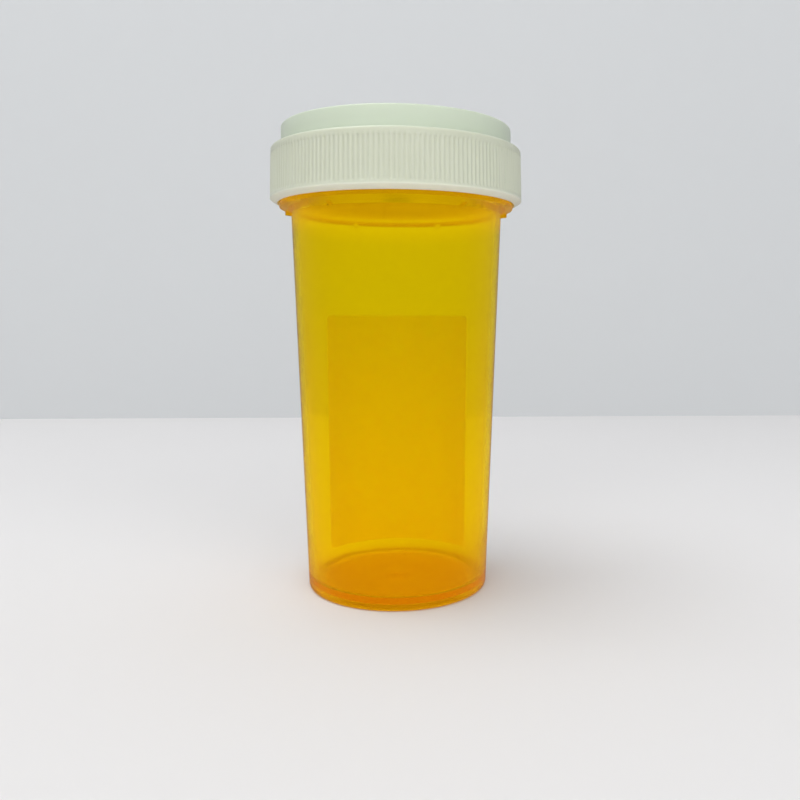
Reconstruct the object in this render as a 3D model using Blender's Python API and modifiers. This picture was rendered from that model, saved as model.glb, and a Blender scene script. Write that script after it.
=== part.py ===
"""Amber prescription vial with a two-sided, push-and-turn cap.

The vial stands on its foot at the origin, +Z up. The cap sits on it with its wide ribbed skirt down and its
narrow threaded ring up. Inside the cap a seal wafer lies on the vial's mouth, and a dished spring disc
pushes the cap up, so that the cap's six lugs stay in the notches of the vial's six hooks.
All dimensions are in metres and all angles in degrees.
"""
import math

import bmesh
import bpy
from mathutils import Matrix, Vector

# ---- vial body ------------------------------------------------------------------------------------------
FOOT_RADIUS = 0.0171
BODY_TOP_RADIUS = 0.0193
BODY_HEIGHT = 0.0698
WALL = 0.00105
FLOOR_TOP = 0.0020
FOOT_ROUNDING = 0.0007
FLOOR_ROUNDING = 0.0012
FOOT_RING_INNER_RADIUS = 0.0149
FOOT_RECESS_DEPTH = 0.0006
FOOT_RECESS_SLOPE = 0.0006

FLANGE_RADIUS = 0.0214
FLANGE_BOTTOM = 0.0709
FLANGE_TOP = 0.0719
NECK_RADIUS = 0.0192
MOUTH_HEIGHT = 0.0781
RIM_ROUNDING = 0.0003

FLANGE_RIB_ANGLES = [middle + side * 34 for middle in (-90, 30, 150) for side in (-1, 1)]
FLANGE_RIB_OUTER_RADIUS = 0.0204
FLANGE_RIB_BOTTOM = 0.0696
FLANGE_RIB_WIDTH = 0.0014
FLANGE_RIB_TIP_WIDTH = 0.0005
FLANGE_RIB_ROOT_DEPTH = WALL / 2

# ---- locking hooks on the neck and lugs in the cap ------------------------------------------------------
LOCK_COUNT = 6
LOCK_PHASE = -75
HOOK_OUTER_RADIUS = 0.0208
HOOK_ROOT_DEPTH = WALL / 3
HOOK_TOP = 0.0752
HOOK_BAR_BOTTOM = 0.0744
HOOK_TOOTH_BOTTOM = 0.0736
HOOK_START = -10
HOOK_STOP_END = -7
HOOK_TOOTH_START = 7
HOOK_END = 12
LUG_WAY_RADIUS = 0.0196
LUG_WAY_STEP = WALL / 7
LUG_INNER_RADIUS = 0.0211
LUG_HALF_WIDTH = 5
LUG_BOTTOM = 0.0018
LUG_HEIGHT = 0.0008

# ---- threads for the cap's other side -------------------------------------------------------------------
THREAD_WIRE_RADIUS = 0.00045
THREAD_RISE = 0.0012
THREAD_START_ANGLE = 11
NECK_THREAD_RADIUS = 0.0193
NECK_THREAD_START = 0.0758
RING_THREAD_RADIUS = 0.02005
RING_THREAD_START = 0.0115
THREAD_POINTS = 49

# ---- cap, heights from its lower lip --------------------------------------------------------------------
CAP_SEAT = 0.0715
LIP_INNER_RADIUS = 0.0217
SKIRT_INNER_TOP_RADIUS = 0.0214
SKIRT_BOTTOM_RADIUS = 0.02304
SKIRT_TOP_RADIUS = 0.02275
LIP_BEVEL = 0.0008
SHOULDER_HEIGHT = 0.0097
SHOULDER_ROUNDING = 0.0004
CEILING_HEIGHT = 0.0085
WEB_INNER_RADIUS = 0.0195
WEB_BOTTOM = 0.0097
WEB_TOP = 0.0107
RING_OUTER_RADIUS = 0.0209
RING_INNER_RADIUS = 0.0201
RING_TOP = 0.0135
RING_ROUNDING = 0.0003
POST_RADIUS = 0.0025
POST_BOTTOM = 0.0064
BEAD_RADIUS = 0.0032
BEAD_HEIGHT = 0.0004

RIB_COUNT = 172
RIB_DEPTH = 0.00025
RIB_CREST_DROP = 0.00008
RIB_BOTTOM = 0.0011
RIB_TOP = 0.0084

# ---- inner pieces and label -----------------------------------------------------------------------------
PIECE_GAP = 0.0003
WAFER_RADIUS = 0.0190
WAFER_THICKNESS = 0.0006
POST_HOLE_RADIUS = 0.0028
SPRING_HEIGHT = 0.0016
SPRING_SHEET = 0.0004
SPRING_RADIUS = 0.0180
SPRING_RIM_WIDTH = 0.0020
SPRING_HUB_RADIUS = 0.0060

LABEL_BOTTOM = 0.0033
LABEL_HEIGHT = 0.0480
LABEL_ANGLE = 101
LABEL_THICKNESS = 0.00025

# ---- mesh resolution ------------------------------------------------------------------------------------
ROUND_STEPS = 64
CAP_STEPS = RIB_COUNT // 2
FILLET_STEPS = 3
SECTOR_STEPS = 4
LABEL_STEPS = 24
MERGE_DISTANCE = 0.00001
SLIVER_LENGTH = 0.00003
SHARP_ANGLE = 35

PARTS = "prescription_vial"
CUTTERS = "cutters"


def clear_scene():
    for obj in list(bpy.data.objects):
        bpy.data.objects.remove(obj, do_unlink=True)


def new_collection(name):
    collection = bpy.data.collections.new(name)
    bpy.context.scene.collection.children.link(collection)
    return collection


def plastic(name, colour, roughness, transmission=0.0):
    material = bpy.data.materials.new(name)
    material.use_nodes = True
    shader = material.node_tree.nodes["Principled BSDF"]
    shader.inputs["Base Color"].default_value = (*colour, 1.0)
    shader.inputs["Roughness"].default_value = roughness
    shader.inputs["Metallic"].default_value = 0.0
    shader.inputs["Transmission Weight"].default_value = transmission
    material.diffuse_color = (*colour, 1.0)
    return material


def body_radius(height):
    """Outer radius of the tapered wall."""
    return FOOT_RADIUS + (BODY_TOP_RADIUS - FOOT_RADIUS) * height / BODY_HEIGHT


def rounded(corners):
    """Turn (radius, height, fillet) corners into profile points, with an arc at each filleted corner."""
    points = []
    for index, (radius, height, fillet) in enumerate(corners):
        corner = Vector((radius, height))
        if fillet == 0:
            points.append(corner)
            continue
        to_before = (Vector(corners[index - 1][:2]) - corner).normalized()
        to_after = (Vector(corners[index + 1][:2]) - corner).normalized()
        half_angle = to_before.angle(to_after) / 2
        centre = corner + (to_before + to_after).normalized() * fillet / math.sin(half_angle)
        first = corner + to_before * fillet / math.tan(half_angle) - centre
        last = corner + to_after * fillet / math.tan(half_angle) - centre
        for step in range(FILLET_STEPS + 1):
            points.append(centre + fillet * first.slerp(last, step / FILLET_STEPS))
    return points


def turned(name, collection, points, closed=False, angle=360, steps=ROUND_STEPS):
    """Turn a profile at +X about the Z axis with a Screw modifier."""
    mesh = bpy.data.meshes.new(name)
    edges = [(index, index + 1) for index in range(len(points) - 1)]
    if closed:
        edges.append((len(points) - 1, 0))
    mesh.from_pydata([(x, 0, z) for x, z in points], edges, [])
    obj = bpy.data.objects.new(name, mesh)
    collection.objects.link(obj)
    screw = obj.modifiers.new("turn", "SCREW")
    screw.angle = math.radians(angle)
    screw.steps = steps
    screw.render_steps = steps
    screw.use_merge_vertices = True
    screw.merge_threshold = MERGE_DISTANCE
    return obj


def evaluated_mesh(obj):
    bpy.context.view_layer.update()
    return bpy.data.meshes.new_from_object(obj.evaluated_get(bpy.context.evaluated_depsgraph_get()))


def welded_copy(curve_object, collection):
    """Replace a curve with a mesh whose caps are welded on."""
    mesh = evaluated_mesh(curve_object)
    shape = bmesh.new()
    shape.from_mesh(mesh)
    bmesh.ops.remove_doubles(shape, verts=shape.verts, dist=MERGE_DISTANCE)
    shape.to_mesh(mesh)
    shape.free()
    obj = bpy.data.objects.new(curve_object.name + "_mesh", mesh)
    obj.matrix_world = curve_object.matrix_world
    collection.objects.link(obj)
    bpy.data.objects.remove(curve_object, do_unlink=True)
    return obj


def thread_wire(name, collection, radius, start_height):
    """A one-turn helix of round wire that forms the thread's ridge."""
    curve = bpy.data.curves.new(name, "CURVE")
    curve.dimensions = "3D"
    curve.bevel_depth = THREAD_WIRE_RADIUS
    curve.bevel_resolution = 2
    curve.use_fill_caps = True
    spline = curve.splines.new("POLY")
    spline.points.add(THREAD_POINTS - 1)
    for index, point in enumerate(spline.points):
        share = index / (THREAD_POINTS - 1)
        turn = math.radians(THREAD_START_ANGLE + 360 * share)
        point.co = (radius * math.cos(turn), radius * math.sin(turn), start_height + THREAD_RISE * share, 1)
    wire = bpy.data.objects.new(name, curve)
    collection.objects.link(wire)
    return welded_copy(wire, collection)


def sectors(name, collection, inner_radius, outer_radius, bottom, top, start, end):
    """One ring sector at each locking position, extruded from bottom to top, all in one cutter."""
    shape = bmesh.new()
    for lock in range(LOCK_COUNT):
        middle = LOCK_PHASE + lock * 360 / LOCK_COUNT
        turns = [math.radians(middle + start + (end - start) * step / SECTOR_STEPS)
                 for step in range(SECTOR_STEPS + 1)]
        outline = [(outer_radius * math.cos(turn), outer_radius * math.sin(turn)) for turn in turns]
        turns.reverse()
        outline += [(inner_radius * math.cos(turn), inner_radius * math.sin(turn)) for turn in turns]
        base = shape.faces.new([shape.verts.new((x, y, bottom)) for x, y in outline])
        base.normal_flip()
        raised = bmesh.ops.extrude_face_region(shape, geom=[base])
        risen = [item for item in raised["geom"] if isinstance(item, bmesh.types.BMVert)]
        bmesh.ops.translate(shape, verts=risen, vec=(0, 0, top - bottom))
    bmesh.ops.recalc_face_normals(shape, faces=shape.faces)
    return mesh_object(name, collection, shape)


def flange_ribs(name, collection):
    """Small ribs under the flange, wide at the flange and narrow at their lower end."""
    shape = bmesh.new()
    inner = BODY_TOP_RADIUS - FLANGE_RIB_ROOT_DEPTH
    depth = FLANGE_RIB_OUTER_RADIUS - inner
    top = FLANGE_BOTTOM + (FLANGE_TOP - FLANGE_BOTTOM) / 2
    for angle in FLANGE_RIB_ANGLES:
        cube = bmesh.ops.create_cube(shape, size=1)["verts"]
        for vert in cube:
            width = FLANGE_RIB_WIDTH if vert.co.z > 0 else FLANGE_RIB_TIP_WIDTH
            height = top if vert.co.z > 0 else FLANGE_RIB_BOTTOM
            vert.co = (inner + depth * (vert.co.x + 0.5), vert.co.y * width, height)
        turn = Matrix.Rotation(math.radians(angle), 3, "Z")
        bmesh.ops.rotate(shape, verts=cube, cent=(0, 0, 0), matrix=turn)
    return mesh_object(name, collection, shape)


def mesh_object(name, collection, shape):
    mesh = bpy.data.meshes.new(name)
    shape.to_mesh(mesh)
    shape.free()
    obj = bpy.data.objects.new(name, mesh)
    collection.objects.link(obj)
    return obj


def combine(target, operation, cutter):
    boolean = target.modifiers.new(cutter.name, "BOOLEAN")
    boolean.operation = operation
    boolean.solver = "EXACT"
    boolean.object = cutter
    cutter.hide_render = True
    cutter.display_type = "WIRE"


def finished(obj, material):
    """Keep the evaluated mesh without slivers, shade it smooth between edges and give it its material."""
    mesh = evaluated_mesh(obj)
    shape = bmesh.new()
    shape.from_mesh(mesh)
    bmesh.ops.remove_doubles(shape, verts=shape.verts, dist=SLIVER_LENGTH)
    bmesh.ops.dissolve_degenerate(shape, edges=shape.edges, dist=SLIVER_LENGTH)
    shape.to_mesh(mesh)
    shape.free()
    obj.modifiers.clear()
    obj.data = mesh
    mesh.materials.clear()
    mesh.materials.append(material)
    mesh.shade_smooth()
    mesh.set_sharp_from_angle(angle=math.radians(SHARP_ANGLE))
    return obj


def make_vial_body(parts, cutters):
    inner_floor_radius = body_radius(FLOOR_TOP) - WALL
    inner_top_radius = BODY_TOP_RADIUS - WALL
    recess_radius = FOOT_RING_INNER_RADIUS - FOOT_RECESS_SLOPE
    corners = [
        (0, FLOOR_TOP, 0),
        (inner_floor_radius, FLOOR_TOP, FLOOR_ROUNDING),
        (inner_top_radius, BODY_HEIGHT, 0),
        (inner_top_radius, MOUTH_HEIGHT, RIM_ROUNDING),
        (NECK_RADIUS, MOUTH_HEIGHT, RIM_ROUNDING),
        (NECK_RADIUS, FLANGE_TOP, 0),
        (FLANGE_RADIUS, FLANGE_TOP, 0),
        (FLANGE_RADIUS, FLANGE_BOTTOM, 0),
        (BODY_TOP_RADIUS, BODY_HEIGHT, 0),
        (FOOT_RADIUS, 0, FOOT_ROUNDING),
        (FOOT_RING_INNER_RADIUS, 0, 0),
        (recess_radius, FOOT_RECESS_DEPTH, 0),
        (0, FOOT_RECESS_DEPTH, 0),
    ]
    vial = turned("vial_body", parts, rounded(corners))
    hooks = sectors("hook_blocks", cutters, NECK_RADIUS - HOOK_ROOT_DEPTH, HOOK_OUTER_RADIUS,
                    (FLANGE_BOTTOM + FLANGE_TOP) / 2, HOOK_TOP, HOOK_START, HOOK_END)
    lug_clear_radius = FLANGE_RADIUS + WALL
    ways = sectors("lug_ways", cutters, LUG_WAY_RADIUS, lug_clear_radius,
                   FLANGE_TOP + LUG_WAY_STEP, HOOK_TOOTH_BOTTOM, HOOK_STOP_END, HOOK_END + 1)
    notches = sectors("lug_notches", cutters, LUG_WAY_RADIUS, lug_clear_radius,
                      HOOK_TOOTH_BOTTOM - LUG_WAY_STEP, HOOK_BAR_BOTTOM, HOOK_STOP_END, HOOK_TOOTH_START)
    combine(vial, "UNION", hooks)
    combine(vial, "DIFFERENCE", ways)
    combine(vial, "DIFFERENCE", notches)
    combine(vial, "UNION", flange_ribs("flange_rib_blocks", cutters))
    combine(vial, "UNION", thread_wire("neck_thread", cutters, NECK_THREAD_RADIUS, NECK_THREAD_START))
    return finished(vial, plastic("amber_polypropylene", (0.80, 0.33, 0.01), 0.12, 0.8))


def rib_cutter(cutters):
    """The band outside the skirt's grip ribs: a ring with a fluted hole."""
    fluted = bmesh.new()
    draft = (SKIRT_BOTTOM_RADIUS - SKIRT_TOP_RADIUS) / (SHOULDER_HEIGHT - LIP_BEVEL)
    bottom_radius = SKIRT_BOTTOM_RADIUS - draft * (RIB_BOTTOM - LIP_BEVEL) - RIB_CREST_DROP
    top_radius = SKIRT_BOTTOM_RADIUS - draft * (RIB_TOP - LIP_BEVEL) - RIB_CREST_DROP
    reach = PIECE_GAP
    bmesh.ops.create_cone(
        fluted, cap_ends=True, segments=2 * RIB_COUNT, depth=RIB_TOP - RIB_BOTTOM + 2 * reach,
        radius1=bottom_radius + draft * reach, radius2=top_radius - draft * reach,
        matrix=Matrix.Translation((0, 0, (RIB_TOP + RIB_BOTTOM) / 2)))
    for vert in fluted.verts:
        flute = math.atan2(vert.co.y, vert.co.x) / math.pi * RIB_COUNT
        if round(flute) % 2:
            vert.co.xy *= 1 - RIB_DEPTH / vert.co.xy.length
    core = mesh_object("fluted_core", cutters, fluted)
    core.rotation_euler.z = math.pi / RIB_COUNT / 2
    core.display_type = "WIRE"
    core.hide_render = True
    inner = LIP_INNER_RADIUS
    outer = SKIRT_BOTTOM_RADIUS + WALL
    profile = [(outer, RIB_TOP), (outer, RIB_BOTTOM), (inner, RIB_BOTTOM), (inner, RIB_TOP)]
    band = turned("rib_band", cutters, profile, closed=True)
    combine(band, "DIFFERENCE", core)
    return band


def make_cap(parts, cutters):
    corners = [
        (0, WEB_TOP, 0),
        (RING_INNER_RADIUS, WEB_TOP, RING_ROUNDING),
        (RING_INNER_RADIUS, RING_TOP, RING_ROUNDING),
        (RING_OUTER_RADIUS, RING_TOP, RING_ROUNDING),
        (RING_OUTER_RADIUS, SHOULDER_HEIGHT, 0),
        (SKIRT_TOP_RADIUS, SHOULDER_HEIGHT, SHOULDER_ROUNDING),
        (SKIRT_BOTTOM_RADIUS, LIP_BEVEL, 0),
        (LIP_INNER_RADIUS, 0, 0),
        (SKIRT_INNER_TOP_RADIUS, CEILING_HEIGHT, SHOULDER_ROUNDING),
        (WEB_INNER_RADIUS, CEILING_HEIGHT, 0),
        (WEB_INNER_RADIUS, WEB_BOTTOM, 0),
        (POST_RADIUS, WEB_BOTTOM, 0),
        (POST_RADIUS, POST_BOTTOM + BEAD_HEIGHT, 0),
        (BEAD_RADIUS, POST_BOTTOM + BEAD_HEIGHT, 0),
        (POST_RADIUS, POST_BOTTOM, 0),
        (0, POST_BOTTOM, 0),
    ]
    cap = turned("reversible_cap", parts, rounded(corners), steps=CAP_STEPS)
    lugs = sectors("lug_blocks", cutters, LUG_INNER_RADIUS, (LIP_INNER_RADIUS + SKIRT_TOP_RADIUS) / 2,
                   LUG_BOTTOM, LUG_BOTTOM + LUG_HEIGHT, -LUG_HALF_WIDTH, LUG_HALF_WIDTH)
    combine(cap, "DIFFERENCE", rib_cutter(cutters))
    combine(cap, "UNION", lugs)
    combine(cap, "UNION", thread_wire("ring_thread", cutters, RING_THREAD_RADIUS, RING_THREAD_START))
    return finished(cap, plastic("off_white_polypropylene", (0.58, 0.62, 0.51), 0.38))


def make_seal_wafer(parts):
    profile = [(WAFER_RADIUS, WAFER_THICKNESS), (WAFER_RADIUS, 0), (POST_HOLE_RADIUS, 0),
               (POST_HOLE_RADIUS, WAFER_THICKNESS)]
    wafer = turned("seal_wafer", parts, profile, closed=True)
    return finished(wafer, plastic("white_foam", (0.86, 0.87, 0.86), 0.75))


def make_spring_disc(parts):
    """A dished disc: a flat rim on the wafer, a cone up to a flat hub under the cap's web."""
    rim_inner = SPRING_RADIUS - SPRING_RIM_WIDTH
    profile = [
        (POST_HOLE_RADIUS, SPRING_HEIGHT),
        (SPRING_HUB_RADIUS, SPRING_HEIGHT),
        (rim_inner, SPRING_SHEET),
        (SPRING_RADIUS, SPRING_SHEET),
        (SPRING_RADIUS, 0),
        (rim_inner, 0),
        (SPRING_HUB_RADIUS, SPRING_HEIGHT - SPRING_SHEET),
        (POST_HOLE_RADIUS, SPRING_HEIGHT - SPRING_SHEET),
    ]
    disc = turned("spring_disc", parts, profile, closed=True)
    return finished(disc, plastic("natural_polyethylene", (0.80, 0.82, 0.80), 0.30, 0.4))


def make_label(parts):
    """A plain label round the back of the tapered wall, standing just clear of it."""
    low = body_radius(LABEL_BOTTOM) + PIECE_GAP
    high = body_radius(LABEL_BOTTOM + LABEL_HEIGHT) + PIECE_GAP
    label = turned("label", parts, [(high, LABEL_HEIGHT), (low, 0)], angle=LABEL_ANGLE, steps=LABEL_STEPS)
    thickness = label.modifiers.new("thickness", "SOLIDIFY")
    thickness.thickness = LABEL_THICKNESS
    thickness.offset = 1
    label.location.z = LABEL_BOTTOM
    label.rotation_euler.z = math.radians(90 - LABEL_ANGLE / 2)
    return finished(label, plastic("label_paper", (0.85, 0.84, 0.80), 0.6))


def main():
    clear_scene()
    parts = new_collection(PARTS)
    cutters = new_collection(CUTTERS)

    make_vial_body(parts, cutters)
    make_label(parts)

    closure = bpy.data.objects.new("closure_axis", None)
    closure.location.z = CAP_SEAT
    parts.objects.link(closure)
    wafer_height = MOUTH_HEIGHT + PIECE_GAP
    spring_height = wafer_height + WAFER_THICKNESS + PIECE_GAP
    placed = [
        (make_cap(parts, cutters), CAP_SEAT),
        (make_seal_wafer(parts), wafer_height),
        (make_spring_disc(parts), spring_height),
    ]
    for piece, height in placed:
        piece.parent = closure
        piece.location.z = height - CAP_SEAT


main()
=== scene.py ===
"""Looks of the amber prescription vial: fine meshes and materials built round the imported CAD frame.

The vial stands on its foot at the origin, +Z up, with its clear side towards -Y and its label on the +Y side.
Lengths are in metres and angles in degrees. Heights of the cap are measured from its lower lip.
"""

import math

import bpy
import numpy as np
from mathutils import Matrix, Vector


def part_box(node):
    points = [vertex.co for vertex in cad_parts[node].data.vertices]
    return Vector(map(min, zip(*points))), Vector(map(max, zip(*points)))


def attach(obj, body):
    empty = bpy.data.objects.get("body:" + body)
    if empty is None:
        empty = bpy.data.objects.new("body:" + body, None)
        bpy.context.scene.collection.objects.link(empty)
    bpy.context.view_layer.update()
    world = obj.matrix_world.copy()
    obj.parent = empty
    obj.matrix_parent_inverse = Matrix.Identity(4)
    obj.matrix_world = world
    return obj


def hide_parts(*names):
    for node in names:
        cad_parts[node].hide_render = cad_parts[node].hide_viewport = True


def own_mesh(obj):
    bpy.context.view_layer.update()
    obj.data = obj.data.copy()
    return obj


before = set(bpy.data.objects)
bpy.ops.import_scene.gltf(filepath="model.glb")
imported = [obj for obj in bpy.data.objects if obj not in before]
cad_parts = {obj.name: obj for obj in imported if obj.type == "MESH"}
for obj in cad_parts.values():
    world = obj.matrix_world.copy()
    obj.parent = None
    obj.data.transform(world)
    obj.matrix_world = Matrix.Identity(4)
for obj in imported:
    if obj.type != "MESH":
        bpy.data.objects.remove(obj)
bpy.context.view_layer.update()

MM = 0.001

# ---- sizes read from the frame --------------------------------------------------------------------------
body_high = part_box("vial_body")[1]
cap_low, cap_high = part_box("reversible_cap")
wafer_low, wafer_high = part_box("seal_wafer")
spring_low, spring_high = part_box("spring_disc")
label_low, label_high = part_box("label")

FLANGE_RADIUS = body_high.x
MOUTH_HEIGHT = body_high.z
CAP_SEAT = cap_low.z
RING_TOP = cap_high.z - CAP_SEAT
SKIRT_BOTTOM_RADIUS = cap_high.x

# ---- vial body ------------------------------------------------------------------------------------------
FOOT_RADIUS = 17.1 * MM
BODY_TOP_RADIUS = 19.3 * MM
BODY_HEIGHT = 69.8 * MM
WALL = 1.05 * MM
FLOOR_TOP = 2.0 * MM
FOOT_ROUNDING = 0.7 * MM
FLOOR_ROUNDING = 1.2 * MM
FOOT_RING_INNER_RADIUS = 14.9 * MM
FOOT_RECESS_DEPTH = 0.6 * MM
GATE_RADIUS = 1.0 * MM
GATE_DROP = 0.3 * MM
GATE_ROUNDING = GATE_DROP / 3
RECESS_ROUNDING = 0.2 * MM
FLANGE_BOTTOM = 70.9 * MM
FLANGE_TOP = 71.9 * MM
NECK_RADIUS = 19.2 * MM
NECK_ROUNDING = 0.25 * MM
FLANGE_UNDER_ROUNDING = 0.12 * MM
FLANGE_TOP_ROUNDING = 0.2 * MM

FLANGE_RIB_ANGLES = [middle + side * 34 for middle in (-90, 30, 150) for side in (-1, 1)]
FLANGE_RIB_RADIUS = 20.4 * MM
FLANGE_RIB_BOTTOM = 69.6 * MM
FLANGE_RIB_WIDTH = 1.4 * MM
FLANGE_RIB_TIP_WIDTH = 0.5 * MM

# ---- locking hooks, lugs and threads --------------------------------------------------------------------
LOCK_PHASE = -75
LOCK_SPACING = 60
HOOK_RADIUS = 20.8 * MM
HOOK_ROOT_RADIUS = 19.6 * MM
HOOK_TOP = 75.2 * MM
HOOK_BAR_BOTTOM = 74.4 * MM
HOOK_TOOTH_BOTTOM = 73.6 * MM
HOOK_START = -10
HOOK_STOP_END = -7
HOOK_TOOTH_START = 7
HOOK_END = 12
LUG_RADIUS = 21.1 * MM
LUG_HALF_WIDTH = 5
LUG_BOTTOM = 1.8 * MM
LUG_TOP = 2.6 * MM
THREAD_WIRE = 0.45 * MM
THREAD_RISE = 1.2 * MM
THREAD_START_ANGLE = 11
THREAD_RUN_OUT = 14
NECK_THREAD_RADIUS = 19.3 * MM
NECK_THREAD_START = 75.8 * MM
RING_THREAD_RADIUS = 20.05 * MM
RING_THREAD_START = 11.5 * MM

# ---- cap ------------------------------------------------------------------------------------------------
LIP_INNER_RADIUS = 21.7 * MM
SKIRT_INNER_TOP_RADIUS = 21.4 * MM
SKIRT_TOP_RADIUS = 22.75 * MM
LIP_BEVEL = 0.8 * MM
SHOULDER_HEIGHT = 9.7 * MM
CEILING_HEIGHT = 8.5 * MM
WEB_INNER_RADIUS = 19.5 * MM
WEB_BOTTOM = 9.7 * MM
WEB_TOP = 10.7 * MM
RING_OUTER_RADIUS = 20.9 * MM
RING_INNER_RADIUS = 20.1 * MM
POST_RADIUS = 2.5 * MM
POST_BOTTOM = 6.4 * MM
BEAD_RADIUS = 3.2 * MM
BEAD_HEIGHT = 0.4 * MM
POST_ROUNDING = 0.15 * MM
POST_ROOT_ROUNDING = 0.3 * MM
BEAD_ROUNDING = 0.1 * MM
WEB_EDGE_ROUNDING = 0.2 * MM
CEILING_EDGE_ROUNDING = 0.15 * MM
CEILING_ROUNDING = 0.3 * MM
LIP_ROUNDING = 0.08 * MM
BEVEL_ROUNDING = 0.15 * MM
SHOULDER_ROUNDING = 0.45 * MM
RING_ROOT_ROUNDING = 0.15 * MM
RING_ROUNDING = 0.3 * MM
RING_FLOOR_ROUNDING = 0.25 * MM
RIB_COUNT = 172
RIB_DEPTH = 0.21 * MM
RIB_BOTTOM = 1.3 * MM
RIB_TOP = 8.5 * MM
RIB_RUN_OUT = 0.45 * MM

# ---- inner pieces and label -----------------------------------------------------------------------------
POST_HOLE_RADIUS = 2.8 * MM
SPRING_SHEET = 0.4 * MM
SPRING_RIM_WIDTH = 2.0 * MM
SPRING_HUB_RADIUS = 6.0 * MM
SPRING_BEND = 0.5 * MM
LABEL_WIDTH = 33.6 * MM
LABEL_THICKNESS = 0.10 * MM
LABEL_GAP = 0.02 * MM
LABEL_CORNER = 0.8 * MM

# ---- mesh resolution ------------------------------------------------------------------------------------
BODY_COLUMNS = 640
CAP_COLUMNS = RIB_COUNT * 5
SMALL_COLUMNS = 240
LABEL_COLUMNS = 121
LABEL_ROWS = 40
LABEL_CORNER_TURNS = range(0, 90, 15)
FILLET_STEPS = 4
RUN_OUT_ROW = 0.1 * MM
FINE_ROW = 0.15 * MM
FLANGE_ROW = 0.3 * MM
EDGE_ROW = 0.5 * MM
SHOULDER_ROW = 0.8 * MM
SKIRT_ROW = 2 * MM
BROAD_ROW = 3 * MM
FLOOR_ROW = 4 * MM
FOAM_ROW = 5 * MM
WEB_ROW = 8 * MM
WALL_ROW = 9 * MM
EDGE_BLEND = 0.12 * MM
RIB_SUPPORT = 3 * EDGE_BLEND
SAME_PLACE = EDGE_BLEND / 10
NECK_FACE = WALL / 10

# ---- camera ---------------------------------------------------------------------------------------------
CAMERA_PLACE = (0, -149.63 * MM, 52.56 * MM)
CAMERA_PITCH = -6.54
CAMERA_YAW = -3.54
CAMERA_ROLL = 0.21
CAMERA_LENS = 35.39
CAMERA_SHIFT = -0.0573
CAMERA_NEAR = 5 * MM
CAMERA_FAR = 10

# ---- studio: lengths in metres and power in watts -------------------------------------------------------
BACKDROP_DISTANCE = 235 * MM
STUDIO_HALF_WIDTH = 2.2
STUDIO_HEIGHT = 1.6
FLOOR_COLOUR = (0.775, 0.765, 0.765)
BACKDROP_COLOUR = (0.605, 0.62, 0.63)
STUDIO_ROUGHNESS = 0.7
STUDIO_MOTTLE = 0.985
WORLD_COLOUR = (0.93, 0.96, 1.0)
WORLD_STRENGTH = 0.22

# ---- amber plastic: where it turns hazy, and how much it glows ------------------------------------------
NECK_HAZE_START = 66 * MM
NECK_HAZE_END = 69 * MM
FOOT_HAZE_START = 13 * MM
FOOT_HAZE_END = 3 * MM
END_HAZE = 0.15
GLOW_END = 55 * MM
FOOT_GLOW = 0.10
WALL_GLOW = 0.035
NECK_GLOW = 0.06


# ======== meshes =========================================================================================

def body_radius(height):
    """Outer radius of the tapered wall."""
    return FOOT_RADIUS + (BODY_TOP_RADIUS - FOOT_RADIUS) * height / BODY_HEIGHT


def outline(corners):
    """Turn corners into profile points.

    A corner is (radius, height, fillet, step): fillet is the radius of its arc, and step is the longest
    distance between points on the straight run to the next corner, with 0 for a run that isn't divided.
    """
    points = []
    steps = []
    for index, (radius, height, fillet, step) in enumerate(corners):
        corner = Vector((radius, height))
        if fillet == 0:
            points.append(corner)
            steps.append(step)
            continue
        to_before = (Vector(corners[index - 1][:2]) - corner).normalized()
        to_after = (Vector(corners[(index + 1) % len(corners)][:2]) - corner).normalized()
        half_angle = to_before.angle(to_after) / 2
        centre = corner + (to_before + to_after).normalized() * fillet / math.sin(half_angle)
        reach = fillet / math.tan(half_angle)
        first = corner + to_before * reach - centre
        last = corner + to_after * reach - centre
        for part in range(FILLET_STEPS + 1):
            points.append(centre + fillet * first.slerp(last, part / FILLET_STEPS))
            steps.append(0)
        steps[-1] = step
    divided = []
    for index, (point, step) in enumerate(zip(points, steps)):
        divided.append(point)
        if step and index + 1 < len(points):
            run = points[index + 1] - point
            count = math.ceil(run.length / step)
            divided += [point + run * part / count for part in range(1, count)]
    return np.array(divided)


def turned_skin(name, points, columns, relief=None, centred=False):
    """A closed skin turned about Z from profile points that run from the inside of the piece to its outside.

    relief(radius, height, angle) gives the final radius at every point of the grid. With centred set the
    profile starts and ends on the axis; otherwise it is a closed ring.
    """
    angle = np.arange(columns) * 360 / columns
    radius = np.repeat(points[:, :1], columns, axis=1)
    height = np.repeat(points[:, 1:], columns, axis=1)
    if relief is not None:
        radius = relief(radius, height, angle[None, :])
    turn = np.radians(angle)
    grid = np.stack([radius * np.cos(turn), radius * np.sin(turn), height], axis=-1)
    rows = len(points)
    ids = np.arange(rows * columns).reshape(rows, columns)
    if centred:
        grid = grid[1:-1]
        ids = ids[:-2]
        rows -= 2
    vertices = grid.reshape(-1, 3).tolist()
    low = ids if not centred else ids[:-1]
    high = np.roll(ids, -1, axis=0) if not centred else ids[1:]
    quads = np.stack([low, np.roll(low, -1, axis=1), np.roll(high, -1, axis=1), high], axis=-1)
    faces = quads.reshape(-1, 4).tolist()
    if centred:
        for ring, centre, forward in ((ids[0], points[0], False), (ids[-1], points[-1], True)):
            pole = len(vertices)
            vertices.append((0, 0, centre[1]))
            for one, two in zip(ring, np.roll(ring, -1)):
                faces.append((pole, int(one), int(two)) if forward else (pole, int(two), int(one)))
    mesh = bpy.data.meshes.new(name)
    mesh.from_pydata(vertices, [], faces)
    mesh.shade_smooth()
    obj = bpy.data.objects.new(name, mesh)
    bpy.context.scene.collection.objects.link(obj)
    return obj


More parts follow.
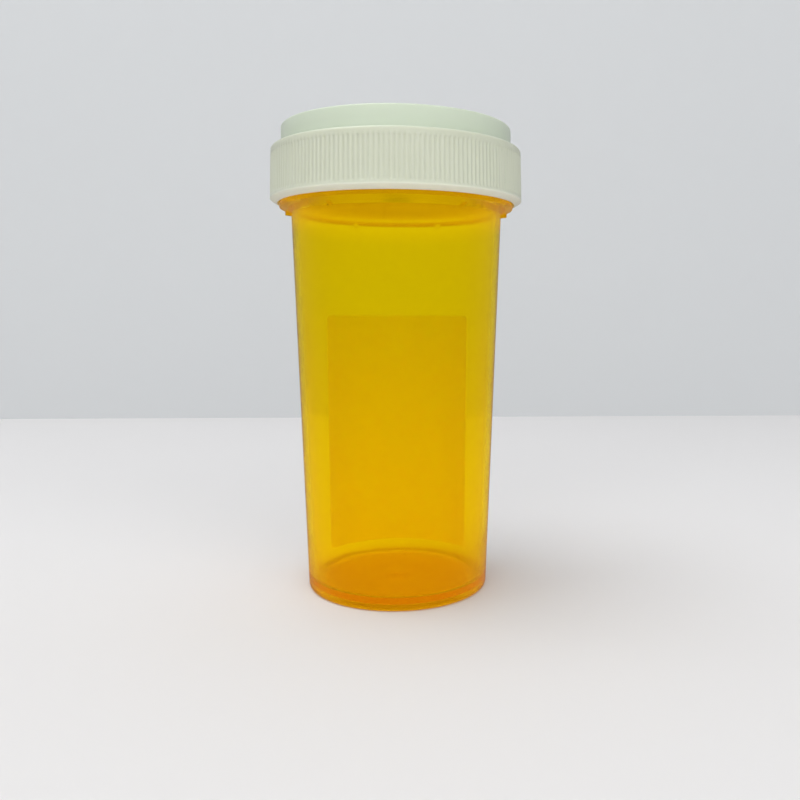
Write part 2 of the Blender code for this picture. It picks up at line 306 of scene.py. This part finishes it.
def within(value, start, end, soft):
    """1 inside start..end and 0 outside, with a straight ramp of width soft centred on each edge."""
    rise = np.clip((value - start) / soft + 0.5, 0, 1)
    fall = np.clip((end - value) / soft + 0.5, 0, 1)
    return np.minimum(rise, fall)


def from_lock(angle):
    """Angle from the nearest locking position, -30 to 30."""
    return (angle - LOCK_PHASE + LOCK_SPACING / 2) % LOCK_SPACING - LOCK_SPACING / 2


def thread_ridge(height, angle, radius, start_height, outward):
    """Radius of a one-turn thread ridge of round wire, which shrinks away at both ends."""
    along = (angle - THREAD_START_ANGLE) % 360
    run_out = np.clip(np.minimum(along, 360 - along) / THREAD_RUN_OUT, 0, 1)
    wire = THREAD_WIRE * np.sqrt(run_out)
    away = height - (start_height + THREAD_RISE * along / 360)
    lift = np.sqrt(np.clip(wire ** 2 - away ** 2, 0, None))
    return np.where(lift > 0, radius + outward * lift, 0 if outward > 0 else 1)


def body_relief(radius, height, angle):
    """Hooks and thread on the neck and ribs under the flange."""
    column = np.broadcast_to(angle, radius.shape)
    lock = from_lock(column)
    soft_turn = 360 / BODY_COLUMNS
    root = within(lock, HOOK_START, HOOK_END, soft_turn) * (height < HOOK_TOP + EDGE_BLEND / 2)
    stop = within(lock, HOOK_START, HOOK_STOP_END, soft_turn) * within(height, 0, HOOK_TOP, EDGE_BLEND)
    bar = (within(lock, HOOK_START, HOOK_END, soft_turn)
           * within(height, HOOK_BAR_BOTTOM, HOOK_TOP, EDGE_BLEND))
    tooth = (within(lock, HOOK_TOOTH_START, HOOK_END, soft_turn)
             * within(height, HOOK_TOOTH_BOTTOM, HOOK_TOP, EDGE_BLEND))
    hook = np.maximum(np.maximum(stop, bar), tooth)
    root_rise = root * (HOOK_ROOT_RADIUS - NECK_RADIUS)
    hook_rise = hook * (HOOK_RADIUS - NECK_RADIUS)
    neck = NECK_RADIUS + np.maximum(root_rise, hook_rise)
    thread = thread_ridge(height, column, NECK_THREAD_RADIUS, NECK_THREAD_START, 1)
    below_rim = height < MOUTH_HEIGHT - 2 * NECK_ROUNDING
    outer_face = radius > NECK_RADIUS - NECK_FACE
    on_neck = (height > FLANGE_TOP) & below_rim & outer_face
    shaped = np.where(on_neck, np.maximum(np.maximum(neck, thread), radius), radius)

    on_flange_top = (np.abs(height - FLANGE_TOP) < SAME_PLACE) & outer_face
    squeeze = (FLANGE_RADIUS - neck) / (FLANGE_RADIUS - NECK_RADIUS)
    shaped = np.where(on_flange_top, FLANGE_RADIUS - (FLANGE_RADIUS - radius) * squeeze, shaped)

    rise = np.clip((height - FLANGE_RIB_BOTTOM) / (FLANGE_BOTTOM - FLANGE_RIB_BOTTOM), 0, 1)
    half_width = (FLANGE_RIB_TIP_WIDTH + (FLANGE_RIB_WIDTH - FLANGE_RIB_TIP_WIDTH) * rise) / 2
    under_flange = (height >= FLANGE_RIB_BOTTOM - SAME_PLACE) & (height < FLANGE_BOTTOM)
    outer_wall = radius > BODY_TOP_RADIUS - WALL / 2
    for middle in FLANGE_RIB_ANGLES:
        aside = np.abs((column - middle + 180) % 360 - 180)
        across = np.radians(aside) * FLANGE_RIB_RADIUS
        rib = np.clip((half_width - across) / EDGE_BLEND + 0.5, 0, 1) * under_flange * outer_wall
        shaped = np.maximum(shaped, np.where(rib > 0, radius + (FLANGE_RIB_RADIUS - radius) * rib, 0))
    return shaped


def make_amber_vial():
    inner_floor_radius = body_radius(FLOOR_TOP) - WALL
    inner_top_radius = BODY_TOP_RADIUS - WALL
    recess_radius = FOOT_RING_INNER_RADIUS - FOOT_RECESS_DEPTH
    rib_bottom = FLANGE_RIB_BOTTOM
    corners = [
        (0, FOOT_RECESS_DEPTH - GATE_DROP, 0, 0),
        (GATE_RADIUS, FOOT_RECESS_DEPTH - GATE_DROP, GATE_ROUNDING, 0),
        (GATE_RADIUS, FOOT_RECESS_DEPTH, GATE_ROUNDING, BROAD_ROW),
        (recess_radius, FOOT_RECESS_DEPTH, RECESS_ROUNDING, 0),
        (FOOT_RING_INNER_RADIUS, 0, RECESS_ROUNDING, EDGE_ROW),
        (FOOT_RADIUS, 0, FOOT_ROUNDING, WALL_ROW),
        (body_radius(rib_bottom - RIB_SUPPORT), rib_bottom - RIB_SUPPORT, 0, EDGE_BLEND),
        (body_radius(rib_bottom - EDGE_BLEND), rib_bottom - EDGE_BLEND, 0, 0),
        (body_radius(rib_bottom), rib_bottom, 0, FINE_ROW),
        (BODY_TOP_RADIUS, BODY_HEIGHT, 0, FINE_ROW),
        (FLANGE_RADIUS, FLANGE_BOTTOM, FLANGE_UNDER_ROUNDING, FLANGE_ROW),
        (FLANGE_RADIUS, FLANGE_TOP, FLANGE_TOP_ROUNDING, EDGE_ROW),
        (NECK_RADIUS, FLANGE_TOP, 0, FINE_ROW),
        (NECK_RADIUS, MOUTH_HEIGHT, NECK_ROUNDING, FINE_ROW),
        (inner_top_radius, MOUTH_HEIGHT, NECK_ROUNDING, WALL_ROW),
        (inner_top_radius, BODY_HEIGHT, 0, WALL_ROW),
        (inner_floor_radius, FLOOR_TOP, FLOOR_ROUNDING, FLOOR_ROW),
        (0, FLOOR_TOP, 0, 0),
    ]
    return turned_skin("amber_vial", outline(corners), BODY_COLUMNS, body_relief, centred=True)


def cap_relief(radius, height, angle):
    """Grip ribs outside the skirt, lugs inside it and the thread inside the ring, in cap heights."""
    local = height - CAP_SEAT
    column = np.broadcast_to(angle, radius.shape)
    wave = (0.5 - 0.5 * np.cos(np.radians(column) * RIB_COUNT)) ** 2
    ends = np.clip(np.minimum(local - RIB_BOTTOM, RIB_TOP - local) / RIB_RUN_OUT, 0, 1)
    outside = radius > (SKIRT_TOP_RADIUS + SKIRT_INNER_TOP_RADIUS) / 2
    shaped = radius - np.where(outside, RIB_DEPTH * wave * np.sqrt(ends), 0)

    lock = from_lock(column)
    soft_turn = 360 / CAP_COLUMNS * 2
    lug = (within(lock, -LUG_HALF_WIDTH, LUG_HALF_WIDTH, soft_turn)
           * within(local, LUG_BOTTOM, LUG_TOP, EDGE_BLEND))
    inside = (radius < LIP_INNER_RADIUS + EDGE_BLEND) & (radius > LUG_RADIUS) & (local < CEILING_HEIGHT / 2)
    shaped = np.where(inside, radius - (radius - LUG_RADIUS) * lug, shaped)

    ridge = thread_ridge(local, column, RING_THREAD_RADIUS, RING_THREAD_START, -1)
    on_ring = (np.abs(radius - RING_INNER_RADIUS) < SAME_PLACE) & (local > WEB_TOP)
    return np.where(on_ring, np.minimum(shaped, ridge), shaped)


def skirt_inner(height):
    return LIP_INNER_RADIUS + (SKIRT_INNER_TOP_RADIUS - LIP_INNER_RADIUS) * height / CEILING_HEIGHT


def skirt_outer(height):
    share = (height - LIP_BEVEL) / (SHOULDER_HEIGHT - LIP_BEVEL)
    return SKIRT_BOTTOM_RADIUS + (SKIRT_TOP_RADIUS - SKIRT_BOTTOM_RADIUS) * share


def make_ribbed_cap():
    z = CAP_SEAT
    corners = [
        (0, z + POST_BOTTOM, 0, 0),
        (POST_RADIUS, z + POST_BOTTOM, POST_ROUNDING, 0),
        (BEAD_RADIUS, z + POST_BOTTOM + BEAD_HEIGHT, BEAD_ROUNDING, 0),
        (POST_RADIUS, z + POST_BOTTOM + BEAD_HEIGHT, 0, 0),
        (POST_RADIUS, z + WEB_BOTTOM, POST_ROOT_ROUNDING, WEB_ROW),
        (WEB_INNER_RADIUS, z + WEB_BOTTOM, WEB_EDGE_ROUNDING, 0),
        (WEB_INNER_RADIUS, z + CEILING_HEIGHT, CEILING_EDGE_ROUNDING, 0),
        (SKIRT_INNER_TOP_RADIUS, z + CEILING_HEIGHT, CEILING_ROUNDING, BROAD_ROW),
        (skirt_inner(LUG_TOP + EDGE_BLEND), z + LUG_TOP + EDGE_BLEND, 0, FINE_ROW),
        (skirt_inner(LUG_BOTTOM - EDGE_BLEND), z + LUG_BOTTOM - EDGE_BLEND, 0, SHOULDER_ROW),
        (LIP_INNER_RADIUS, z, LIP_ROUNDING, EDGE_ROW),
        (SKIRT_BOTTOM_RADIUS, z + LIP_BEVEL, BEVEL_ROUNDING, 0),
        (skirt_outer(RIB_BOTTOM), z + RIB_BOTTOM, 0, RUN_OUT_ROW),
        (skirt_outer(RIB_BOTTOM + RIB_RUN_OUT), z + RIB_BOTTOM + RIB_RUN_OUT, 0, SKIRT_ROW),
        (skirt_outer(RIB_TOP - RIB_RUN_OUT), z + RIB_TOP - RIB_RUN_OUT, 0, RUN_OUT_ROW),
        (skirt_outer(RIB_TOP), z + RIB_TOP, 0, 0),
        (SKIRT_TOP_RADIUS, z + SHOULDER_HEIGHT, SHOULDER_ROUNDING, SHOULDER_ROW),
        (RING_OUTER_RADIUS, z + SHOULDER_HEIGHT, RING_ROOT_ROUNDING, SKIRT_ROW),
        (RING_OUTER_RADIUS, z + RING_TOP, RING_ROUNDING, 0),
        (RING_INNER_RADIUS, z + RING_TOP, RING_ROUNDING, FINE_ROW),
        (RING_INNER_RADIUS, z + WEB_TOP, RING_FLOOR_ROUNDING, WEB_ROW),
        (0, z + WEB_TOP, 0, 0),
    ]
    return turned_skin("ribbed_cap", outline(corners), CAP_COLUMNS, cap_relief, centred=True)


def make_foam_wafer():
    low, high, radius = wafer_low.z, wafer_high.z, wafer_high.x
    edge = (high - low) / 4
    corners = [
        (POST_HOLE_RADIUS, low, edge, FOAM_ROW),
        (radius, low, edge, 0),
        (radius, high, edge, FOAM_ROW),
        (POST_HOLE_RADIUS, high, edge, 0),
    ]
    return turned_skin("foam_wafer", outline(corners), SMALL_COLUMNS)


def make_spring_dish():
    low, high, radius = spring_low.z, spring_high.z, spring_high.x
    rim_inner = radius - SPRING_RIM_WIDTH
    edge = SPRING_SHEET / 4
    corners = [
        (POST_HOLE_RADIUS, high - SPRING_SHEET, edge, 0),
        (SPRING_HUB_RADIUS, high - SPRING_SHEET, SPRING_BEND, 0),
        (rim_inner, low, SPRING_BEND, 0),
        (radius, low, edge, 0),
        (radius, low + SPRING_SHEET, edge, 0),
        (rim_inner, low + SPRING_SHEET, SPRING_BEND, 0),
        (SPRING_HUB_RADIUS, high, SPRING_BEND, 0),
        (POST_HOLE_RADIUS, high, edge, 0),
    ]
    return turned_skin("spring_dish", outline(corners), SMALL_COLUMNS)


def make_label_sheet():
    """A thin sheet round the back of the wall with constant width and rounded corners."""
    low = label_low.z
    tall = label_high.z - label_low.z
    rounding = [LABEL_CORNER * (1 - math.cos(math.radians(turn))) for turn in LABEL_CORNER_TURNS]
    plain = np.linspace(LABEL_CORNER, tall - LABEL_CORNER, LABEL_ROWS)
    heights = rounding + plain.tolist() + [tall - rise for rise in reversed(rounding)]
    across = np.linspace(-1, 1, LABEL_COLUMNS)
    vertices = []
    for height in heights:
        from_end = min(height, tall - height, LABEL_CORNER)
        cut = LABEL_CORNER - math.sqrt(LABEL_CORNER ** 2 - (LABEL_CORNER - from_end) ** 2)
        radius = body_radius(low + height) + LABEL_GAP
        half_turn = (LABEL_WIDTH / 2 - cut) / radius
        for share in across:
            turn = math.pi / 2 + half_turn * share
            vertices.append((radius * math.cos(turn), radius * math.sin(turn), low + height))
    faces = []
    for row in range(len(heights) - 1):
        for column in range(LABEL_COLUMNS - 1):
            corner = row * LABEL_COLUMNS + column
            faces.append((corner, corner + 1, corner + LABEL_COLUMNS + 1, corner + LABEL_COLUMNS))
    mesh = bpy.data.meshes.new("label_sheet")
    mesh.from_pydata(vertices, [], faces)
    mesh.shade_smooth()
    obj = bpy.data.objects.new("label_sheet", mesh)
    bpy.context.scene.collection.objects.link(obj)
    sheet = obj.modifiers.new("paper", "SOLIDIFY")
    sheet.thickness = LABEL_THICKNESS
    sheet.offset = 1
    return obj


# ======== materials ======================================================================================

class Shader:
    """A Principled material whose nodes are added by short calls."""

    def __init__(self, name, colour, roughness):
        self.material = bpy.data.materials.new(name)
        self.material.use_nodes = True
        self.tree = self.material.node_tree
        self.surface = self.tree.nodes["Principled BSDF"]
        self.output = self.tree.nodes["Material Output"]
        self.set("Base Color", (*colour, 1))
        self.set("Roughness", roughness)
        self.place = self.tree.nodes.new("ShaderNodeTexCoord").outputs["Object"]

    def set(self, socket, value):
        self.surface.inputs[socket].default_value = value

    def noise(self, scale, detail=2.0, stretch=(1, 1, 1)):
        """Noise from 0 to 1. Scale is in waves per metre, and stretch multiplies it along each axis."""
        mapping = self.tree.nodes.new("ShaderNodeMapping")
        mapping.inputs["Scale"].default_value = stretch
        self.tree.links.new(self.place, mapping.inputs["Vector"])
        noise = self.tree.nodes.new("ShaderNodeTexNoise")
        noise.inputs["Scale"].default_value = scale
        noise.inputs["Detail"].default_value = detail
        self.tree.links.new(mapping.outputs["Vector"], noise.inputs["Vector"])
        return noise.outputs["Fac"]

    def remap(self, value, low, high, start=0.3, end=0.7):
        """Map start..end to low..high. The defaults are where nearly all of a noise lies."""
        node = self.tree.nodes.new("ShaderNodeMapRange")
        node.inputs["From Min"].default_value = start
        node.inputs["From Max"].default_value = end
        node.inputs["To Min"].default_value = low
        node.inputs["To Max"].default_value = high
        self.tree.links.new(value, node.inputs["Value"])
        return node.outputs["Result"]

    def mix(self, factor, one, two):
        """A colour from one to two."""
        node = self.tree.nodes.new("ShaderNodeMix")
        node.data_type = "RGBA"
        self.tree.links.new(factor, node.inputs["Factor"])
        node.inputs[6].default_value = (*one, 1)
        node.inputs[7].default_value = (*two, 1)
        return node.outputs[2]

    def height(self):
        """Height above the floor with the cap on."""
        parts = self.tree.nodes.new("ShaderNodeSeparateXYZ")
        self.tree.links.new(self.place, parts.inputs["Vector"])
        return parts.outputs["Z"]

    def add(self, one, two):
        node = self.tree.nodes.new("ShaderNodeMath")
        node.operation = "ADD"
        self.tree.links.new(one, node.inputs[0])
        self.tree.links.new(two, node.inputs[1])
        return node.outputs["Value"]

    def blend(self, colour, other, start, end):
        """Blend from one colour to another between two heights."""
        node = self.tree.nodes.new("ShaderNodeMix")
        node.data_type = "RGBA"
        self.tree.links.new(self.remap(self.height(), 0, 1, start, end), node.inputs["Factor"])
        self.tree.links.new(colour, node.inputs[6])
        node.inputs[7].default_value = (*other, 1)
        return node.outputs[2]

    def link(self, value, socket):
        self.tree.links.new(value, self.surface.inputs[socket])

    def bump(self, height, distance):
        """Add a bump of the given depth on top of the bumps that are there."""
        node = self.tree.nodes.new("ShaderNodeBump")
        node.inputs["Distance"].default_value = distance
        self.tree.links.new(height, node.inputs["Height"])
        if self.surface.inputs["Normal"].is_linked:
            before = self.surface.inputs["Normal"].links[0].from_socket
            self.tree.links.new(before, node.inputs["Normal"])
        self.tree.links.new(node.outputs["Normal"], self.surface.inputs["Normal"])


def amber_plastic():
    """Amber polypropylene that absorbs blue at once and green more slowly, hazier at the neck and foot.

    The small emission stands in for light that the haze scatters forward.
    """
    shader = Shader("amber_plastic", (0.885, 0.83, 0.010), 0.08)
    shader.set("Transmission Weight", 0.93)
    shader.set("IOR", 1.22)
    shader.set("Specular Tint", (1.0, 0.72, 0.02, 1))
    height = shader.height()
    at_neck = shader.remap(height, 0, 1, NECK_HAZE_START, NECK_HAZE_END)
    at_foot = shader.remap(height, 1, 0, FOOT_HAZE_END, FOOT_HAZE_START)
    shader.link(shader.mix(at_neck, (1.0, 0.28, 0.0), (1.0, 0.48, 0.0)), "Emission Color")
    glow = shader.remap(height, FOOT_GLOW, WALL_GLOW, 0, GLOW_END)
    shader.link(shader.add(glow, shader.remap(at_neck, 0, NECK_GLOW, 0, 1)), "Emission Strength")
    streaks = shader.noise(260, 2.0, stretch=(1, 1, 0.06))
    haze = shader.add(shader.remap(at_neck, 0, END_HAZE, 0, 1), shader.remap(at_foot, 0, END_HAZE, 0, 1))
    shader.link(shader.add(shader.remap(streaks, 0.06, 0.11), haze), "Roughness")
    shader.bump(streaks, 0.02 * MM)
    shader.bump(shader.noise(2500, 2.0), 0.001 * MM)
    absorption = shader.tree.nodes.new("ShaderNodeVolumeAbsorption")
    absorption.inputs["Color"].default_value = (0.992, 0.960, 0.10, 1)
    absorption.inputs["Density"].default_value = 1000
    shader.tree.links.new(absorption.outputs["Volume"], shader.output.inputs["Volume"])
    return shader.material


def cap_plastic():
    """Satin off-white polypropylene with a faint green cast. Painted light: the lip bevel is coloured paler,
    and the ring paler and greener, to stand in for light that these thin parts catch.
    """
    shader = Shader("cap_plastic", (0.55, 0.575, 0.455), 0.38)
    shader.set("IOR", 1.49)
    shader.set("Subsurface Weight", 0.35)
    shader.set("Subsurface Scale", 1.2 * MM)
    shader.set("Subsurface Radius", (1.0, 1.0, 0.8))
    shader.set("Sheen Weight", 0.15)
    cloud = shader.mix(shader.noise(120, 4.0), (0.55, 0.575, 0.455), (0.59, 0.615, 0.495))
    lit_lip_top = CAP_SEAT + LIP_BEVEL
    lit_ring_bottom = CAP_SEAT + SHOULDER_HEIGHT
    soft = 0.3 * MM
    # painted light: the lip bevel is coloured paler to stand in for the light it catches
    with_painted_lip_light = shader.blend(cloud, (0.80, 0.81, 0.68), lit_lip_top + soft, lit_lip_top - soft / 3)
    # painted light: the ring is coloured paler and greener to stand in for light shining through its thin
    # wall
    with_painted_ring_light = shader.blend(with_painted_lip_light, (0.565, 0.63, 0.51), lit_ring_bottom - soft, lit_ring_bottom + soft)
    shader.link(with_painted_ring_light, "Base Color")
    grain = shader.noise(3500, 3.0)
    shader.link(shader.remap(shader.noise(900, 3.0), 0.29, 0.38), "Roughness")
    shader.bump(grain, 0.004 * MM)
    return shader.material


def label_paper():
    """Plain uncoated label stock. Its small emission stands in for light that the hazy vial throws on it."""
    shader = Shader("label_paper", (0.86, 0.85, 0.81), 0.62)
    fibres = shader.noise(2200, 4.0, stretch=(1, 1, 0.5))
    tone = shader.noise(160, 3.0, stretch=(1, 1, 0.15))
    shader.link(shader.mix(tone, (0.88, 0.87, 0.83), (0.93, 0.92, 0.89)), "Base Color")
    shader.link(shader.remap(fibres, 0.55, 0.75), "Roughness")
    shader.bump(fibres, 0.006 * MM)
    shader.set("Transmission Weight", 0.65)
    shader.set("Emission Color", (1.0, 0.97, 0.90, 1))
    shader.set("Emission Strength", 0.08)
    shader.set("Subsurface Weight", 0.5)
    shader.set("Subsurface Scale", 0.3 * MM)
    return shader.material


def seal_foam():
    """White closed-cell polyethylene foam."""
    shader = Shader("seal_foam", (0.88, 0.89, 0.88), 0.8)
    cells = shader.tree.nodes.new("ShaderNodeTexVoronoi")
    cells.inputs["Scale"].default_value = 3200
    shader.tree.links.new(shader.place, cells.inputs["Vector"])
    shader.bump(cells.outputs["Distance"], 0.03 * MM)
    shader.link(shader.mix(cells.outputs["Distance"], (0.91, 0.92, 0.91), (0.80, 0.81, 0.80)), "Base Color")
    shader.link(shader.remap(cells.outputs["Distance"], 0.7, 0.9, 0, 1), "Roughness")
    return shader.material


def natural_plastic():
    """Unpigmented polyethylene, milky and half clear."""
    shader = Shader("natural_plastic", (0.84, 0.86, 0.84), 0.3)
    shader.set("IOR", 1.51)
    shader.set("Transmission Weight", 0.35)
    shader.set("Subsurface Weight", 0.5)
    shader.set("Subsurface Scale", 1.0 * MM)
    haze = shader.noise(500, 3.0)
    shader.link(shader.remap(haze, 0.29, 0.42), "Roughness")
    shader.link(shader.mix(haze, (0.80, 0.82, 0.80), (0.88, 0.89, 0.88)), "Base Color")
    shader.bump(shader.noise(3000, 2.0), 0.003 * MM)
    return shader.material


def studio_surface(name, colour, roughness):
    shader = Shader(name, colour, roughness)
    darker = tuple(channel * STUDIO_MOTTLE for channel in colour)
    shader.link(shader.mix(shader.noise(9, 3.0), darker, colour), "Base Color")
    return shader.material


# ======== camera, light and studio =======================================================================

def make_studio():
    """A pale floor and backdrop, both hidden from mirror rays."""
    half = STUDIO_HALF_WIDTH
    far = BACKDROP_DISTANCE
    tall = STUDIO_HEIGHT
    sheets = {
        "studio_floor": [(-half, -half, 0), (half, -half, 0), (half, far, 0), (-half, far, 0)],
        "studio_backdrop": [(-half, far, 0), (half, far, 0), (half, far, tall), (-half, far, tall)],
    }
    colours = {"studio_floor": FLOOR_COLOUR, "studio_backdrop": BACKDROP_COLOUR}
    for name, corners in sheets.items():
        mesh = bpy.data.meshes.new(name)
        mesh.from_pydata(corners, [], [(0, 1, 2, 3)])
        obj = bpy.data.objects.new(name, mesh)
        bpy.context.scene.collection.objects.link(obj)
        mesh.materials.append(studio_surface(name, colours[name], STUDIO_ROUGHNESS))
        obj.visible_glossy = False


def area_light(name, place, target, size, power, mirrored=False):
    """A rectangular lamp that the camera never sees, and that surfaces mirror only where mirrored is set."""
    light = bpy.data.lights.new(name, "AREA")
    light.shape = "RECTANGLE"
    light.size, light.size_y = size
    light.energy = power
    lamp = bpy.data.objects.new(name, light)
    bpy.context.scene.collection.objects.link(lamp)
    lamp.location = place
    lamp.visible_glossy = mirrored
    lamp.visible_transmission = False
    lamp.visible_camera = False
    lamp.rotation_euler = (Vector(target) - Vector(place)).to_track_quat("-Z", "Y").to_euler()


def make_lights():
    area_light("ceiling_light", (-0.35, 0.00, 1.05), (0, 0, 0.04), (0.7, 0.7), 5.2, mirrored=True)
    area_light("sky_light", (0, -1.0, 1.6), (0, 0, 0.04), (3.2, 3.2), 12.6)
    area_light("front_light", (0.10, -1.00, 0.50), (0, 0, 0.05), (2.2, 0.8), 10.8)
    world = bpy.data.worlds.new("studio")
    bpy.context.scene.world = world
    world.use_nodes = True
    background = world.node_tree.nodes["Background"]
    background.inputs["Color"].default_value = (*WORLD_COLOUR, 1)
    background.inputs["Strength"].default_value = WORLD_STRENGTH


def make_camera():
    data = bpy.data.cameras.new("camera")
    data.lens = CAMERA_LENS
    data.shift_x = CAMERA_SHIFT
    data.clip_start = CAMERA_NEAR
    data.clip_end = CAMERA_FAR
    camera = bpy.data.objects.new("camera", data)
    bpy.context.scene.collection.objects.link(camera)
    aim = Matrix.Rotation(math.radians(CAMERA_YAW), 4, "Z")
    tilt = Matrix.Rotation(math.radians(90 + CAMERA_PITCH), 4, "X")
    roll = Matrix.Rotation(math.radians(CAMERA_ROLL), 4, "Z")
    camera.matrix_world = Matrix.Translation(CAMERA_PLACE) @ aim @ tilt @ roll
    bpy.context.scene.camera = camera


# ======== assembly =======================================================================================

def place(piece, material, node, body, slot):
    piece.data.materials.append(material)
    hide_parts(node)
    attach(piece, body)
    return piece


def main():
    place(make_amber_vial(), amber_plastic(), "vial_body", "vial", "amber_plastic")
    place(make_label_sheet(), label_paper(), "label", "vial", "label_paper")
    place(make_foam_wafer(), seal_foam(), "seal_wafer", "seal", "seal_foam")
    spring = place(make_spring_dish(), natural_plastic(), "spring_disc", "spring", "natural_plastic")
    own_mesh(spring)
    place(make_ribbed_cap(), cap_plastic(), "reversible_cap", "cap", "cap_plastic")
    make_studio()
    make_lights()
    make_camera()
    bpy.context.scene.view_settings.view_transform = "Standard"


main()
